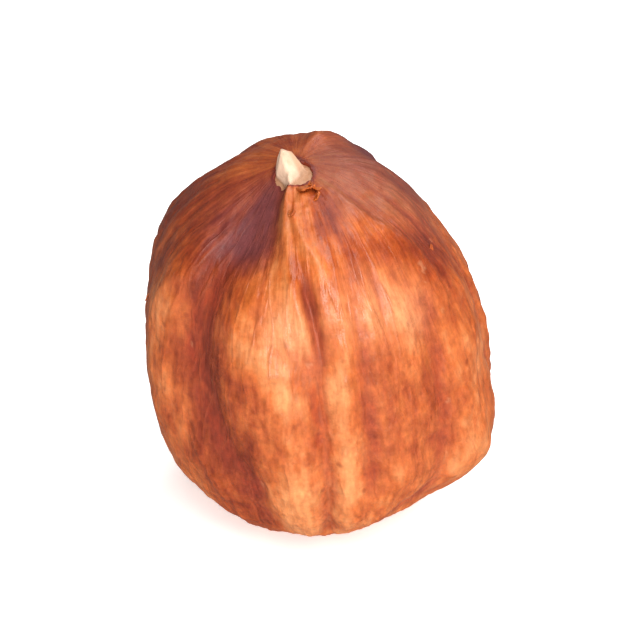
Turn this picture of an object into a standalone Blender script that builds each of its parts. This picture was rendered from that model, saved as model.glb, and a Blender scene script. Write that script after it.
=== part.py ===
"""A shelled hazelnut kernel in its brown skin, standing on its blunt base with its tip up.

The kernel grew as one piece, so it is one solid. Lengths are in metres and angles in degrees.
A direction from the kernel's heart is given by its polar angle, 0 at the tip and 180 at the base,
and by its azimuth, 0 at the front (-Y) and positive to the right (+X).
"""

import math
from dataclasses import dataclass

import bmesh
import bpy
import numpy as np
from mathutils import Matrix

MM = 0.001

# Driving dimensions of the smooth body, which the folds then raise and hollow
WIDTH = 13.5 * MM
THICKNESS = 12.8 * MM
DOME_RISE = 10.4 * MM
BASE_DEPTH = 6.2 * MM
FLAT_SPOT_CUT = 0.22 * MM
LEAN_LEFT = 4.8
LEAN_FORWARD = 2.5

# How round the body is: 2 is an ellipse, more is squarer, less is more pointed
BODY_POWER = 2.37

# The broad rise towards the tip
SKIRT_RISE = 0.25 * MM
SKIRT_REACH = 20.0

# Mesh: meridians and rings, with the rings drawn together towards the tip
MERIDIANS = 116
RINGS = 50
RING_PULL = 0.42

SKIN_COLOUR = (0.479, 0.117, 0.028, 1.0)
SKIN_ROUGHNESS = 0.42


@dataclass(frozen=True)
class Fold:
    """A rib (height above 0) or a furrow (below 0) along a course from the tip's side to the base's.

    The course is a row of (polar, azimuth) stations. The fold takes left and right degrees of
    azimuth to die away to its sides, and run_in and run_out degrees of polar angle at its ends.
    """

    name: str
    course: tuple
    left: float
    right: float
    height: float
    run_in: float
    run_out: float


@dataclass(frozen=True)
class Swell:
    """A round bump (height above 0) or hollow (below 0) about one direction."""

    name: str
    polar: float
    azimuth: float
    reach: float
    height: float


FRONT_FOLDS = (
    Fold("crest below the tip", ((2, -9), (14, -10), (28, -2), (52, 6)), 8, 28, 0.50 * MM, 9, 30),
    Fold("left middle lobe", ((20, -17), (50, -19), (72, -14), (92, -9), (136, -7)), 17, 12, 0.40 * MM, 15, 50),
    Fold("open crease", ((19, -3), (26, 1), (34, 4), (46, 5)), 3.6, 3.4, -0.44 * MM, 8, 16),
    Fold("faint crease", ((32, 4), (62, 3), (112, 3)), 3.4, 3.4, -0.13 * MM, 20, 30),
    Fold("lower crease", ((84, 4), (112, 1), (142, 0)), 3.8, 3.6, -0.34 * MM, 26, 16),
    Fold("thin rib", ((18, 17), (48, 13), (77, 10), (134, 9)), 3.8, 4.6, 0.18 * MM, 26, 34),
    Fold("furrow beside the rib", ((24, 23), (60, 20), (132, 17)), 4, 5, -0.16 * MM, 30, 44),
    Fold("right middle lobe", ((16, 27), (60, 30), (130, 28)), 11, 12, 0.18 * MM, 26, 44),
    Fold("short furrow", ((22, 37), (36, 34), (58, 31)), 3.6, 3.6, -0.15 * MM, 14, 20),
    Fold("right furrow", ((30, 57), (66, 50), (132, 43)), 6, 5, -0.32 * MM, 34, 34),
    Fold("right lobe", ((34, 76), (62, 68), (84, 64), (134, 64)), 11, 15, 0.26 * MM, 26, 34),
    Fold("shoulder edge", ((4, 34), (18, 44), (27, 54), (38, 66), (64, 84)), 13, 10, 0.22 * MM, 10, 34),
    Fold("left furrow", ((12, -40), (40, -47), (56, -46), (72, -40), (96, -29), (140, -22)), 10, 9, -0.62 * MM, 32, 44),
    Fold("left lobe", ((14, -54), (36, -61), (52, -69), (128, -64)), 12, 11, 0.36 * MM, 22, 44),
)

BACK_FOLDS = (
    Fold("left side furrow", ((18, -98), (70, -86), (136, -88)), 7, 6, -0.24 * MM, 30, 40),
    Fold("left back lobe", ((14, -114), (70, -108), (136, -112)), 13, 16, 0.20 * MM, 26, 40),
    Fold("left back furrow", ((10, -140), (54, -133), (100, -138), (140, -146)), 6, 9, -0.38 * MM, 26, 34),
    Fold("left back rib", ((24, -152), (74, -154), (118, -158)), 5, 6, 0.17 * MM, 30, 34),
    Fold("back furrow", ((10, 184), (60, 180), (112, 171)), 5, 5, -0.26 * MM, 22, 40),
    Fold("back crest", ((3, 160), (30, 156), (74, 154)), 13, 12, 0.28 * MM, 10, 44),
    Fold("right back furrow", ((14, 130), (56, 136), (96, 129), (146, 124)), 7, 8, -0.34 * MM, 30, 30),
    Fold("right back lobe", ((30, 114), (76, 108), (128, 104)), 12, 11, 0.18 * MM, 40, 40),
    Fold("right side furrow", ((30, 98), (76, 90), (140, 84)), 5, 5, -0.26 * MM, 34, 34),
)

SWELLS = (
    Swell("nub at the tip", 2.2, -35, 4.2, 0.62 * MM),
    Swell("hollow left of the tip", 18, -37, 9.5, -0.72 * MM),
    Swell("hollow behind the left shoulder", 22, -116, 14, -0.22 * MM),
    Swell("flat behind the shoulder edge", 36, 108, 24, -0.56 * MM),
    Swell("left shoulder", 36, -84, 17, 0.30 * MM),
    Swell("dull patch", 64, 38, 12, -0.18 * MM),
    Swell("right hip", 106, 66, 20, 0.46 * MM),
    Swell("notch under the right hip", 124, 40, 13, -0.40 * MM),
    Swell("left flank", 108, -80, 28, -0.30 * MM),
    Swell("back flat", 78, 176, 32, -0.28 * MM),
)


def smooth_step(low, high, value):
    """0 below low, 1 above high, and a smooth rise between them."""
    share = np.clip((value - low) / (high - low), 0.0, 1.0)
    return share * share * (3.0 - 2.0 * share)


def azimuth_gap(azimuth, other):
    """The shorter way round from other to azimuth, -180 to 180."""
    return (azimuth - other + 180.0) % 360.0 - 180.0


def body_radius(polar, azimuth):
    """Distance from the heart to the smooth body: a high dome above and a shallower bowl below."""
    up = np.cos(np.radians(polar))
    out = np.sin(np.radians(polar))
    sideways = np.sin(np.radians(azimuth)) / (WIDTH / 2)
    forwards = np.cos(np.radians(azimuth)) / (THICKNESS / 2)
    across = np.hypot(sideways, forwards)
    rise = np.where(up > 0, DOME_RISE, BASE_DEPTH)
    return ((out * across) ** BODY_POWER + (np.abs(up) / rise) ** BODY_POWER) ** (-1.0 / BODY_POWER)


def skirt_height(polar):
    """The broad rise towards the tip."""
    return SKIRT_RISE * np.exp(-((polar / SKIRT_REACH) ** 2))


def fold_height(fold, polar, azimuth):
    """What one fold adds to the radius."""
    stations, azimuths = np.array(fold.course).T
    away = azimuth_gap(azimuth, np.interp(polar, stations, azimuths))
    across = away / np.where(away < 0, fold.left, fold.right)
    begun = smooth_step(stations[0], stations[0] + fold.run_in, polar)
    left_to_run = 1.0 - smooth_step(stations[-1] - fold.run_out, stations[-1], polar)
    return fold.height * np.exp(-across * across) * begun * left_to_run


def swell_height(swell, polar, azimuth):
    """What one swell adds to the radius, by the angle between its direction and this one."""
    cosine = np.cos(np.radians(polar)) * math.cos(math.radians(swell.polar)) + np.sin(
        np.radians(polar)
    ) * math.sin(math.radians(swell.polar)) * np.cos(np.radians(azimuth - swell.azimuth))
    away = np.degrees(np.arccos(np.clip(cosine, -1.0, 1.0)))
    return swell.height * np.exp(-((away / swell.reach) ** 2))


def surface(polar, azimuth):
    """Points of the kernel's surface for arrays of directions, in its own upright frame."""
    radius = body_radius(polar, azimuth) + skirt_height(polar)
    for fold in FRONT_FOLDS + BACK_FOLDS:
        radius = radius + fold_height(fold, polar, azimuth)
    for swell in SWELLS:
        radius = radius + swell_height(swell, polar, azimuth)
    out = radius * np.sin(np.radians(polar))
    return np.stack(
        (
            out * np.sin(np.radians(azimuth)),
            -out * np.cos(np.radians(azimuth)),
            radius * np.cos(np.radians(polar)),
        ),
        axis=-1,
    )


def leaned(points):
    """The points with the tip leaned to the left (-X) and forward (-Y)."""
    to_left = Matrix.Rotation(math.radians(-LEAN_LEFT), 3, "Y")
    forward = Matrix.Rotation(math.radians(LEAN_FORWARD), 3, "X")
    return points @ np.array(to_left @ forward).T


def set_down(points):
    """The points with the flat spot pressed in, the base at z = 0 and the box centred on the origin."""
    floor = points[:, 2].min() + FLAT_SPOT_CUT
    points[:, 2] = np.maximum(points[:, 2], floor) - floor
    middle = (points.min(axis=0) + points.max(axis=0)) / 2
    points[:, :2] -= middle[:2]
    return points


def skin_material():
    """Dry brown skin with a soft shine."""
    material = bpy.data.materials.new("kernel_skin")
    material.use_nodes = True
    shader = material.node_tree.nodes["Principled BSDF"]
    shader.inputs["Base Color"].default_value = SKIN_COLOUR
    shader.inputs["Roughness"].default_value = SKIN_ROUGHNESS
    shader.inputs["Metallic"].default_value = 0.0
    return material


def make_kernel(collection):
    """The kernel: a sphere's rings and meridians, moved out to the kernel's surface."""
    shape = bmesh.new()
    bmesh.ops.create_uvsphere(shape, u_segments=MERIDIANS, v_segments=RINGS, radius=1.0)
    start = np.array([vertex.co for vertex in shape.verts])
    even = np.arccos(np.clip(start[:, 2], -1.0, 1.0))
    polar = np.degrees(even - RING_PULL * np.sin(even))
    azimuth = np.degrees(np.arctan2(start[:, 0], -start[:, 1]))
    points = set_down(leaned(surface(polar, azimuth)))
    for vertex, point in zip(shape.verts, points):
        vertex.co = point
    bmesh.ops.triangulate(shape, faces=shape.faces)
    mesh = bpy.data.meshes.new("kernel")
    shape.to_mesh(mesh)
    shape.free()
    mesh.shade_smooth()
    mesh.materials.append(skin_material())
    kernel = bpy.data.objects.new("kernel", mesh)
    collection.objects.link(kernel)
    return kernel


def main():
    """Clears the scene and builds the hazelnut."""
    for existing in list(bpy.data.objects):
        bpy.data.objects.remove(existing)
    collection = bpy.data.collections.new("hazelnut")
    bpy.context.scene.collection.children.link(collection)
    make_kernel(collection)


main()
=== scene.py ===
"""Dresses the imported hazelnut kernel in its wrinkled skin, bare tip and loose scraps, in a plain studio.

A direction from the kernel's heart is a polar angle, 0 at the tip and 180 at the base, and an azimuth, 0 at
the front (-Y) and positive to the right (+X). Angles are in degrees. Lengths are in millimetres, and in
metres where a name ends in _m.
"""

import logging
import math
from dataclasses import dataclass, field
from enum import Enum
from typing import Any

import bpy
import numpy as np
from mathutils import Matrix, Vector

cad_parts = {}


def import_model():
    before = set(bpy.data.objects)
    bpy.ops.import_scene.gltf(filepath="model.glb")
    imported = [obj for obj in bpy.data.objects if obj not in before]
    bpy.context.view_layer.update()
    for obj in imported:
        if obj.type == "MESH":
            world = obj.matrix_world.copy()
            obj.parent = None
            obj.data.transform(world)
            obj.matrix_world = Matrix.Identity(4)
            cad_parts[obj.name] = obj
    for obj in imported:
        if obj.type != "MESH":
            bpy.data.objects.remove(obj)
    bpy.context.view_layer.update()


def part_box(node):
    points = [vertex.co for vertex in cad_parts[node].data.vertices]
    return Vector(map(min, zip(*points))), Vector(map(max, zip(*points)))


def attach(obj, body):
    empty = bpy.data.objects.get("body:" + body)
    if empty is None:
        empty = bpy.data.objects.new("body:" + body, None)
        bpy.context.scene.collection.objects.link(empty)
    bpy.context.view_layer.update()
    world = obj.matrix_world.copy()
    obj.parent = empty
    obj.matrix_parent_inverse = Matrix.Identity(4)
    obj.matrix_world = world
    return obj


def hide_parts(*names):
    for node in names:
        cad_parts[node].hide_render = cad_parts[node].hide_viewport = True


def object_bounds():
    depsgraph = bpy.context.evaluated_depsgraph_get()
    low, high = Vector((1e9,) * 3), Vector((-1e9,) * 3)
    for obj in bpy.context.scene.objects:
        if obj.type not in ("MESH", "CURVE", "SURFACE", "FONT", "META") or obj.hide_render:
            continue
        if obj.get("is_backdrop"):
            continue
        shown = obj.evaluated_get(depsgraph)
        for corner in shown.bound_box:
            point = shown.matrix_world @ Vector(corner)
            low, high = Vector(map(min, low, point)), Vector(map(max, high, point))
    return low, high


LOG = logging.getLogger("hazelnut")
MM = 0.001

# The sockets of a Mix node that carry colour, and those of a Map Range node that hold its bounds
MIX_UNDER, MIX_OVER, MIX_RESULT = 6, 7, 2
FROM_LOW, FROM_HIGH, TO_LOW, TO_HIGH = 1, 2, 3, 4


def smooth_step(low: float | np.ndarray, high: float | np.ndarray, value: np.ndarray) -> np.ndarray:
    """Gives the share of a smooth rise from 0 at low to 1 at high that each value has reached."""
    share = np.clip((value - low) / (high - low), 0.0, 1.0)
    return share * share * (3.0 - 2.0 * share)


class Section(Enum):
    """How a fold's cross-section falls away: the power of its bell curve."""

    ROUND = 2.0
    PINCHED = 1.25
    FLAT_TOPPED = 6.0


@dataclass(frozen=True)
class Fold:
    """A rib (height above 0) or a furrow (below 0) along a course of (polar, azimuth) stations.

    It takes left and right degrees of azimuth to die away to its sides, and run_in and run_out degrees of
    polar angle at its ends.
    """

    course: tuple[tuple[float, float], ...]
    left: float
    right: float
    height: float
    run_in: float
    run_out: float
    section: Section = Section.ROUND

    def rise(self, polar: np.ndarray, azimuth: np.ndarray) -> np.ndarray:
        """Works out what the fold adds to the radius.

        Args:
            polar: Polar angles.
            azimuth: Azimuths.

        Returns:
            The rise in millimetres.
        """
        stations, azimuths = np.array(self.course, dtype=float).T
        away = (azimuth - np.interp(polar, stations, azimuths) + 180.0) % 360.0 - 180.0
        across = np.abs(away) / np.where(away < 0, self.left, self.right)
        begun = smooth_step(stations[0], stations[0] + self.run_in, polar)
        left_to_run = 1.0 - smooth_step(stations[-1] - self.run_out, stations[-1], polar)
        return self.height * np.exp(-(across**self.section.value)) * begun * left_to_run


@dataclass(frozen=True)
class Swell:
    """A round bump (height above 0) or hollow (below 0) about one direction."""

    polar: float
    azimuth: float
    reach: float
    height: float

    def rise(self, polar: np.ndarray, azimuth: np.ndarray) -> np.ndarray:
        """Works out what the swell adds to the radius.

        Args:
            polar: Polar angles.
            azimuth: Azimuths.

        Returns:
            The rise in millimetres.
        """
        tilt = math.radians(self.polar)
        upward = np.cos(np.radians(polar)) * math.cos(tilt)
        outward = np.sin(np.radians(polar)) * math.sin(tilt) * np.cos(np.radians(azimuth - self.azimuth))
        away = np.degrees(np.arccos(np.clip(upward + outward, -1.0, 1.0)))
        return self.height * np.exp(-((away / self.reach) ** 2))


# The main forms, which the solid model has too
MAIN_FOLDS = (
    Fold(((2, -9), (14, -10), (28, -2), (52, 6)), 8, 28, 0.50, 9, 30),
    Fold(((20, -17), (50, -19), (72, -14), (92, -9), (136, -7)), 17, 12, 0.40, 15, 50),
    Fold(((19, -3), (26, 1), (34, 4), (46, 5)), 3.6, 3.4, -0.44, 8, 16),
    Fold(((32, 4), (62, 3), (112, 3)), 3.4, 3.4, -0.13, 20, 30),
    Fold(((84, 4), (112, 1), (142, 0)), 3.8, 3.6, -0.34, 26, 16),
    Fold(((18, 17), (48, 13), (77, 10), (134, 9)), 3.8, 4.6, 0.18, 26, 34),
    Fold(((24, 23), (60, 20), (132, 17)), 4, 5, -0.16, 30, 44),
    Fold(((16, 27), (60, 30), (130, 28)), 11, 12, 0.18, 26, 44),
    Fold(((22, 37), (36, 34), (58, 31)), 3.6, 3.6, -0.15, 14, 20),
    Fold(((30, 57), (66, 50), (132, 43)), 6, 5, -0.32, 34, 34),
    Fold(((34, 76), (62, 68), (84, 64), (134, 64)), 11, 15, 0.26, 26, 34),
    Fold(((4, 34), (18, 44), (27, 54), (38, 66), (64, 84)), 13, 10, 0.22, 10, 34),
    Fold(((12, -40), (40, -47), (56, -46), (72, -40), (96, -29), (140, -22)), 10, 9, -0.62, 32, 44),
    Fold(((14, -54), (36, -61), (52, -69), (128, -64)), 12, 11, 0.36, 22, 44),
    Fold(((18, -98), (70, -86), (136, -88)), 7, 6, -0.24, 30, 40),
    Fold(((14, -114), (70, -108), (136, -112)), 13, 16, 0.20, 26, 40),
    Fold(((10, -140), (54, -133), (100, -138), (140, -146)), 6, 9, -0.38, 26, 34),
    Fold(((24, -152), (74, -154), (118, -158)), 5, 6, 0.17, 30, 34),
    Fold(((10, 184), (60, 180), (112, 171)), 5, 5, -0.26, 22, 40),
    Fold(((3, 160), (30, 156), (74, 154)), 13, 12, 0.28, 10, 44),
    Fold(((14, 130), (56, 136), (96, 129), (146, 124)), 7, 8, -0.34, 30, 30),
    Fold(((30, 114), (76, 108), (128, 104)), 12, 11, 0.18, 40, 40),
    Fold(((30, 98), (76, 90), (140, 84)), 5, 5, -0.26, 34, 34),
)
MAIN_SWELLS = (
    Swell(2.2, -35, 4.2, 0.62),
    Swell(18, -37, 9.5, -0.72),
    Swell(22, -116, 14, -0.22),
    Swell(36, 108, 24, -0.56),
    Swell(36, -84, 17, 0.30),
    Swell(64, 38, 12, -0.18),
    Swell(106, 66, 20, 0.46),
    Swell(124, 40, 13, -0.40),
    Swell(108, -80, 28, -0.30),
    Swell(78, 176, 32, -0.28),
)

# Crisp lines in the skin, which are too fine for the solid model, and small changes to its forms: the
# crease starts lower, the left furrow is 0.2 mm shallower, and the swells trim 0.15 mm at most
FINE_FORMS = (
    Fold(((19, -3), (26, 1), (32, 3)), 3.6, 3.4, 0.34, 8, 6),
    Fold(((29, 1), (34, 3), (40, 5), (50, 6)), 3.0, 2.8, -0.10, 5, 12),
    Fold(((28, 0.5), (34, 3), (40, 5), (50, 6)), 1.5, 1.3, -0.26, 4, 12, Section.PINCHED),
    Fold(((28, -3), (36, -1), (44, 1), (52, 2)), 2.6, 2.0, 0.09, 6, 14),
    Fold(((28, 5), (36, 8.5), (48, 10)), 1.9, 2.2, 0.08, 10, 14),
    Fold(((12, -5), (19, 1), (26, 9), (34, 14)), 3.2, 3.6, 0.15, 5, 9),
    Fold(((38, 5), (62, 3), (104, 3)), 1.4, 1.4, -0.05, 12, 24, Section.PINCHED),
    Fold(((88, 4), (112, 1), (140, 0)), 1.9, 2.0, -0.16, 16, 12, Section.PINCHED),
    Fold(((24, -44), (40, -48), (56, -47), (72, -41), (96, -30), (134, -23)), 9.0, 7.5, 0.20, 20, 40),
    Fold(((4, -11), (14, -12), (24, -8)), 2.6, 4.0, 0.10, 6, 12),
    Fold(((9, 12), (18, 13), (27, 15)), 3.4, 2.6, 0.06, 6, 12),
    Fold(((8, -4), (16, -5), (24, -2)), 1.8, 1.8, -0.05, 5, 8, Section.PINCHED),
    Fold(((34, 57), (66, 50), (130, 43)), 7, 6, 0.12, 30, 34),
    Fold(((28, 36), (36, 34), (52, 31)), 1.6, 1.6, -0.07, 10, 14, Section.PINCHED),
    Fold(((10, 38), (18, 46), (27, 56), (40, 69)), 3.6, 3.6, 0.09, 10, 18),
    Fold(((26, -50), (40, -64), (56, -71)), 3.4, 4.4, 0.10, 12, 20),
    Swell(58, 92, 30, -0.13),
    Swell(127, 38, 12, -0.15),
    Swell(24, 165, 16, -0.12),
)

# The course of the smooth plane that runs from right of the tip round to the back
TIP_PLANE = ((2, 70), (8, 68), (15, 64), (17, 66), (20, 84), (26, 102), (34, 108), (46, 112))

# Where the skin is paler (above 0) or darker (below 0) than elsewhere: partly broad stains of its tannin,
# partly painted shade on its left side and in its left furrow, and painted highlights on its lobes
STAIN_AND_PAINTED_LIGHT_PATCHES = (
    Fold(((16, -6), (30, -8), (60, -14), (100, -10), (140, -6)), 13, 11, 0.75, 14, 20),
    Fold(((30, 16), (60, 14), (88, 11)), 7, 7, 0.35, 14, 20),
    Fold(((10, -6), (18, 1), (25, 8), (33, 13)), 9, 6, 0.38, 6, 9),
    Fold(((34, -3), (42, -1), (52, 0)), 4, 3, 0.40, 5, 10),
    Fold(((21, -4), (28, -1), (34, 3), (38, 4)), 5, 5, -0.75, 5, 4),
    Fold(((50, 4), (56, 2.5), (74, -1), (92, -1)), 2.6, 2.6, -0.15, 6, 16),
    Fold(((8, 36), (18, 37), (26, 29), (38, 16)), 17, 17, -0.75, 5, 12),
    Fold(((5, 31), (11, 27), (17, 24), (23, 18)), 7, 7, -0.7, 3, 6),
    Fold(((44, -34), (59, -24), (72, -22), (90, -29), (112, -36)), 14, 10, -1.05, 12, 24),
    Fold(((43, 4), (58, 8), (82, 7.5), (114, 6)), 6, 6, 0.85, 14, 20),
    Swell(38, 34, 10, 0.35),
    Swell(58, 45, 11, 0.5),
    Swell(88, 24, 9, 0.3),
    Fold(TIP_PLANE, 40, 70, 0.38, 3, 16, Section.FLAT_TOPPED),
    Fold(((14, -40), (40, -48), (70, -42), (96, -32), (140, -27)), 15, 11, -1.2, 18, 20),
    Fold(((20, 60), (32, 68), (56, 72)), 21, 22, -1.1, 14, 24),
    Swell(41, 45, 9, 0.8),
    Swell(30, -84, 24, -0.7),
    Swell(68, 38, 20, -0.5),
    Swell(46, -60, 10, 1.0),
    Swell(76, 68, 13, 0.6),
    Swell(106, 56, 13, 0.4),
    Swell(122, -4, 20, 0.5),
)

# Where the skin is dull purple-brown: in the hollow by the tip, and on the tip's right and back. This is
# partly the skin's own colour, partly painted shade in the hollow and a painted sheen on the faces turned up
MAUVE_SHEEN_AND_SHADE_PATCHES = (
    Fold(((3, -36), (12, -35), (20, -34), (30, -38)), 17, 17, 0.50, 13, 8, Section.FLAT_TOPPED),
    Fold(((3, -38), (12, -38), (18, -40), (32, -44)), 40, 20, 0.65, 5, 14),
    Fold(TIP_PLANE, 40, 70, 0.42, 3, 16, Section.FLAT_TOPPED),
    Swell(30, 130, 20, 0.45),
    Swell(30, -96, 18, 0.30),
    Swell(34, 178, 26, 0.40),
)

# Where the skin is polished by rubbing (above 0) or dull (below 0). Above 0 it is also mixed towards a pale
# pink, a painted highlight
POLISH_AND_PAINTED_HIGHLIGHT_PATCHES = (
    Swell(38, -9, 11, 1.0),
    Swell(35, 28, 11, 0.9),
    Swell(43, 47, 9, 1.0),
    Swell(17, -37, 15, -1.0),
    Swell(30, -48, 13, -0.8),
    Swell(14, 4, 10, -0.9),
    Swell(28, 150, 26, -0.5),
    Swell(30, 90, 22, -0.5),
)


class SeededNoise:
    """Smooth random values in space, the same on every run."""

    # How many slopes the lattice repeats (a power of 2), what stretches the values to about -1 to 1, and how
    # far apart the finer layers are read, in cells
    SLOPES = 512
    STRETCH = 1.6
    SHIFT = 17.3

    def __init__(self, seed: int) -> None:
        """Draws the lattice's slopes.

        Args:
            seed: Which of the endless patterns this is.
        """
        draw = np.random.default_rng(seed)
        self.order = draw.permutation(self.SLOPES)
        slopes = draw.normal(size=(self.SLOPES, 3))
        self.slopes = slopes / np.linalg.norm(slopes, axis=1)[:, None]

    def at(self, points: np.ndarray) -> np.ndarray:
        """Gives the noise at points.

        Args:
            points: An array of x, y, z, in lattice cells.

        Returns:
            Values of about -1 to 1.
        """
        cell = np.floor(points).astype(np.int64)
        inside = points - cell
        ease = inside**3 * (inside * (inside * 6.0 - 15.0) + 10.0)
        total = np.zeros(points.shape[:-1])
        wrap = self.SLOPES - 1
        for corner in np.ndindex(2, 2, 2):
            at = (cell + corner) & wrap
            pick = self.order[(self.order[at[..., 0]] + at[..., 1]) & wrap]
            pick = self.order[(pick + at[..., 2]) & wrap]
            slope = (self.slopes[pick] * (inside - corner)).sum(axis=-1)
            weight = np.where(np.array(corner) == 1, ease, 1.0 - ease).prod(axis=-1)
            total += slope * weight
        return total * self.STRETCH

    def layered(self, points: np.ndarray, layers: int) -> np.ndarray:
        """Gives the noise with finer and weaker layers added.

        Args:
            points: An array of x, y, z, in lattice cells of the coarsest layer.
            layers: How many layers there are.

        Returns:
            Values of about -1 to 1.
        """
        shares = 0.5 ** np.arange(layers)
        total = sum(share * self.at(points / share + self.SHIFT * share) for share in shares)
        return total / math.sqrt(float((shares**2).sum()))


@dataclass
class KernelForm:
    """The kernel's form and place, as the solid model has them."""

    box_m: tuple[Any, Any]
    width: float = 13.5
    thickness: float = 12.8
    dome_rise: float = 10.4
    base_depth: float = 6.2
    body_power: float = 2.37
    skirt_rise: float = 0.25
    skirt_reach: float = 20.0
    flat_spot_cut: float = 0.22
    lean_left: float = 4.8
    lean_forward: float = 2.5

    def radius(self, polar: np.ndarray, azimuth: np.ndarray) -> np.ndarray:
        """Works out the distance from the heart to the surface of the solid model's form.

        Args:
            polar: Polar angles.
            azimuth: Azimuths.

        Returns:
            The radii in millimetres.
        """
        up = np.cos(np.radians(polar))
        out = np.sin(np.radians(polar))
        sideways = np.sin(np.radians(azimuth)) / (self.width / 2)
        forwards = np.cos(np.radians(azimuth)) / (self.thickness / 2)
        rise = np.where(up > 0, self.dome_rise, self.base_depth)
        power = self.body_power
        across = (out * np.hypot(sideways, forwards)) ** power
        body = (across + (np.abs(up) / rise) ** power) ** (-1.0 / power)
        skirt = self.skirt_rise * np.exp(-((polar / self.skirt_reach) ** 2))
        return body + skirt + sum(form.rise(polar, azimuth) for form in MAIN_FOLDS + MAIN_SWELLS)

    def spread(self, radius: np.ndarray, polar: np.ndarray, azimuth: np.ndarray) -> np.ndarray:
        """Places radii in the kernel's own frame and leans them as it stands.

        Args:
            radius: Distances from the heart, in millimetres.
            polar: Polar angles.
            azimuth: Azimuths.

        Returns:
            Points in millimetres from the heart.
        """
        out = radius * np.sin(np.radians(polar))
        upright = np.stack(
            (
                out * np.sin(np.radians(azimuth)),
                -out * np.cos(np.radians(azimuth)),
                radius * np.cos(np.radians(polar)),
            ),
            axis=-1,
        )
        to_left = Matrix.Rotation(math.radians(-self.lean_left), 3, "Y")
        forward = Matrix.Rotation(math.radians(self.lean_forward), 3, "X")
        return upright @ np.array(to_left @ forward).T

    def heart(self) -> np.ndarray:
        """Finds where the heart lies in the row's frame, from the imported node's box.

        Returns:
            Its x, y, z in millimetres.
        """
        polar, azimuth = np.meshgrid(np.linspace(0, 180, 181), np.arange(-180.0, 180.0, 2.0), indexing="ij")
        points = self.spread(self.radius(polar, azimuth), polar, azimuth).reshape(-1, 3)
        low, high = points.min(axis=0), points.max(axis=0)
        box_low, box_high = (np.array(corner) / MM for corner in self.box_m)
        place = (box_low + box_high) / 2 - (low + high) / 2
        place[2] = box_low[2] - low[2] - self.flat_spot_cut
        return place

    def place_m(self, radius: np.ndarray, polar: np.ndarray, azimuth: np.ndarray) -> np.ndarray:
        """Places radii in the row's frame, with the flat spot pressed in.

        Args:
            radius: Distances from the heart, in millimetres.
            polar: Polar angles.
            azimuth: Azimuths.

        Returns:
            Points in metres.
        """
        points = self.spread(radius, polar, azimuth) + self.heart()
        points[..., 2] = np.maximum(points[..., 2], self.box_m[0][2] / MM)
        return points * MM


def linear(hex_colour: str) -> tuple[float, float, float, float]:
    """Turns an sRGB hex colour to linear red, green, blue and alpha.

    Args:
        hex_colour: Six hex digits after a #.

    Returns:
        The linear colour with an alpha of 1.
    """
    shares = [int(hex_colour[at : at + 2], 16) / 255.0 for at in (1, 3, 5)]
    red, green, blue = (v / 12.92 if v <= 0.04045 else ((v + 0.055) / 1.055) ** 2.4 for v in shares)
    return (red, green, blue, 1.0)


def fill_inputs(tree: bpy.types.NodeTree, node: Any, links: dict[Any, Any]) -> None:
    """Sets a node's inputs.

    Args:
        tree: The node's tree.
        node: The node.
        links: Input names or numbers, each with a value or with the socket that is linked to it.
    """
    for socket, value in links.items():
        if isinstance(value, bpy.types.NodeSocket):
            tree.links.new(value, node.inputs[socket])
        else:
            node.inputs[socket].default_value = value


def add_node(
    tree: bpy.types.NodeTree, kind: str, links: dict[Any, Any] | None = None, **settings: Any
) -> Any:
    """Adds a node with its settings, input values and links.

    Args:
        tree: The material's node tree.
        kind: The node's type name, without ShaderNode.
        links: Input names or numbers, each with a value or with the socket that is linked to it.
        **settings: Attributes of the node.

    Returns:
        The node.
    """
    node = tree.nodes.new("ShaderNode" + kind)
    for name, value in settings.items():
        setattr(node, name, value)
    fill_inputs(tree, node, links or {})
    return node


def new_material(name: str) -> tuple[bpy.types.Material, bpy.types.NodeTree, Any]:
    """Makes a material with its shader.

    Args:
        name: The material's name.

    Returns:
        The material, its tree and its Principled shader.
    """
    material = bpy.data.materials.new(name)
    material.use_nodes = True
    tree = material.node_tree
    return material, tree, tree.nodes["Principled BSDF"]


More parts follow.
